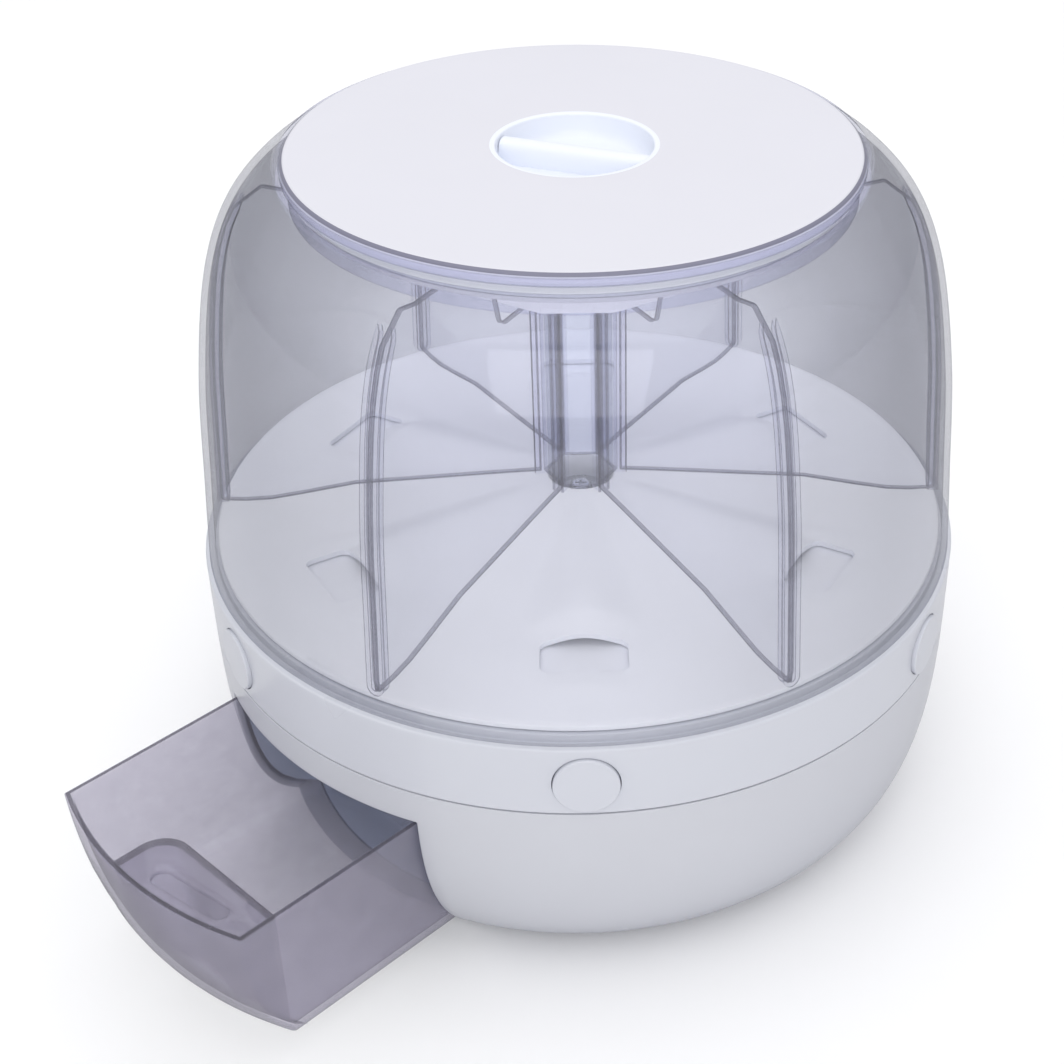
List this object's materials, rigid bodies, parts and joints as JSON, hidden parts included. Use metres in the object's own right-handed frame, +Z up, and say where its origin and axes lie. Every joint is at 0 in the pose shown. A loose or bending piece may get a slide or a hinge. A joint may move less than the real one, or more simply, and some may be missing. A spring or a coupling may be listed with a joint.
{
  "type": "rotating dry food dispenser",
  "caption": "Round countertop dry-food dispenser for pets: a clear domed carousel of wedge compartments turns on a white base, push buttons open gates, and a pull-out drawer catches the food.",
  "frame": {"origin": "on the spin axis at the ground, in the underside of the centre foot", "axes": "+Z up along the spin axis; -Y is the front, towards button 1; the drawer pulls out between -X and -Y"},
  "size_m": [0.34, 0.3395, 0.274],
  "materials": {
    "white_gloss": "smooth white moulding, light gloss",
    "lid_white": "smooth white moulding, light gloss",
    "inner_white": "satin white moulding",
    "clear_dome": "clear polished plastic with a faint lavender-grey tint",
    "clear_divider": "clear polished plastic",
    "smoke_drawer": "clear smoky-grey polished plastic",
    "rubber_foot": "matt soft rubber",
    "silicone": "matt translucent silicone",
    "steel": "plain zinc-plated steel",
    "pom": "natural self-lubricating plastic"
  },
  "bodies": {
    "base": {"base_bowl": "white_gloss", "bottom_plate": "white_gloss", "base_deck": "inner_white", "drawer_bay": "inner_white", "foot_center": "rubber_foot", "foot_1": "rubber_foot", "foot_2": "rubber_foot", "foot_3": "rubber_foot", "foot_4": "rubber_foot", "base_screw_1": "steel", "base_screw_2": "steel", "base_screw_3": "steel", "base_screw_4": "steel", "spindle_shaft": "steel", "spindle_washer": "steel", "spindle_screw": "steel", "glide_ring": "pom"},
    "carousel": {"carousel_ring": "white_gloss", "hopper_floor": "inner_white", "spindle_bush": "pom", "dome": "clear_dome", "divider_hub": "clear_divider", "divider_panel_1": "clear_divider", "divider_panel_2": "clear_divider", "divider_panel_3": "clear_divider", "divider_panel_4": "clear_divider", "divider_panel_5": "clear_divider", "divider_panel_6": "clear_divider", "return_spring_1": "steel", "return_spring_2": "steel", "return_spring_3": "steel", "return_spring_4": "steel", "return_spring_5": "steel", "return_spring_6": "steel"},
    "lid": {"lid_panel": "lid_white", "lid_seal": "silicone", "lid_well": "inner_white", "grip_bar": "lid_white"},
    "drawer": {"drawer_tray": "smoke_drawer"},
    "button_1": {"button_cap_1": "white_gloss", "gate_slide_1": "pom"},
    "button_2": {"button_cap_2": "white_gloss", "gate_slide_2": "pom"},
    "button_3": {"button_cap_3": "white_gloss", "gate_slide_3": "pom"},
    "button_4": {"button_cap_4": "white_gloss", "gate_slide_4": "pom"},
    "button_5": {"button_cap_5": "white_gloss", "gate_slide_5": "pom"},
    "button_6": {"button_cap_6": "white_gloss", "gate_slide_6": "pom"}
  },
  "joints": [
    {"name": "carousel_spin", "type": "hinge", "parent": "base", "child": "carousel", "pos_m": [0, 0, 0.1], "axis": [0, 0, 1], "continuous": true},
    {"name": "lid_lift", "type": "slide", "parent": "carousel", "child": "lid", "axis": [0, 0, 1], "range_m": [0, 0.06]},
    {"name": "drawer_slide", "type": "slide", "parent": "base", "child": "drawer", "axis": [-0.7133, -0.7009, 0], "range_m": [-0.076, 0.052]},
    {"name": "button_1_press", "type": "slide", "parent": "carousel", "child": "button_1", "axis": [0, 1, 0], "range_m": [0, 0.009], "stiffness_N_per_m": 400, "springref_m": -0.003, "deforming": ["return_spring_1"]},
    {"name": "button_2_press", "type": "slide", "parent": "carousel", "child": "button_2", "axis": [-0.866, 0.5, 0], "range_m": [0, 0.009], "stiffness_N_per_m": 400, "springref_m": -0.003, "deforming": ["return_spring_2"]},
    {"name": "button_3_press", "type": "slide", "parent": "carousel", "child": "button_3", "axis": [-0.866, -0.5, 0], "range_m": [0, 0.009], "stiffness_N_per_m": 400, "springref_m": -0.003, "deforming": ["return_spring_3"]},
    {"name": "button_4_press", "type": "slide", "parent": "carousel", "child": "button_4", "axis": [0, -1, 0], "range_m": [0, 0.009], "stiffness_N_per_m": 400, "springref_m": -0.003, "deforming": ["return_spring_4"]},
    {"name": "button_5_press", "type": "slide", "parent": "carousel", "child": "button_5", "axis": [0.866, -0.5, 0], "range_m": [0, 0.009], "stiffness_N_per_m": 400, "springref_m": -0.003, "deforming": ["return_spring_5"]},
    {"name": "button_6_press", "type": "slide", "parent": "carousel", "child": "button_6", "axis": [0.866, 0.5, 0], "range_m": [0, 0.009], "stiffness_N_per_m": 400, "springref_m": -0.003, "deforming": ["return_spring_6"]}
  ]
}
